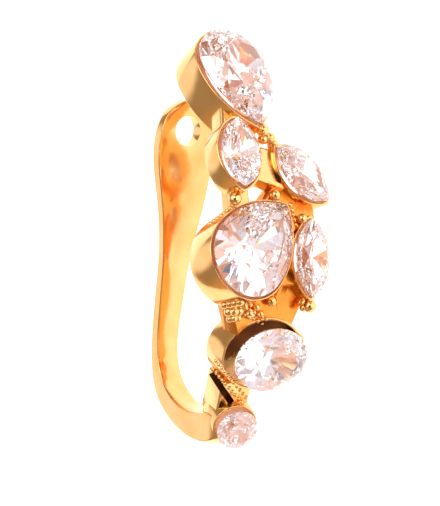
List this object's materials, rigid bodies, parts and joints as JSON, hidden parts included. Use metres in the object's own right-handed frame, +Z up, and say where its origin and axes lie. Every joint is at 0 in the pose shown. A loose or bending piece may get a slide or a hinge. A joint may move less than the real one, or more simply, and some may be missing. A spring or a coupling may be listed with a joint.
{
  "type": "ear cuff",
  "caption": "Ear cuff: a curved clip with a rounded paddle behind the ear and a bowed row of clear cut stones in tall collets in front of it.",
  "frame": {"origin": "on the surface the cuff lies on, under the middle of its bounding box", "axes": "+X along the cuff from its bend to the top stone, +Z up as it lies on its side, the stones face -Y and a little up, the clip is on the +Y side"},
  "size_m": [0.0262, 0.0132, 0.0094],
  "materials": {
    "gold": "high polish, gold plated",
    "crystal": "clear, faceted and polished"
  },
  "bodies": {
    "root": {"cuff_body": "gold", "pear_stone_top": "crystal", "marquise_stone_left": "crystal", "marquise_stone_upper_right": "crystal", "pear_stone_centre": "crystal", "marquise_stone_right": "crystal", "oval_stone": "crystal", "round_stone": "crystal"}
  },
  "joints": []
}
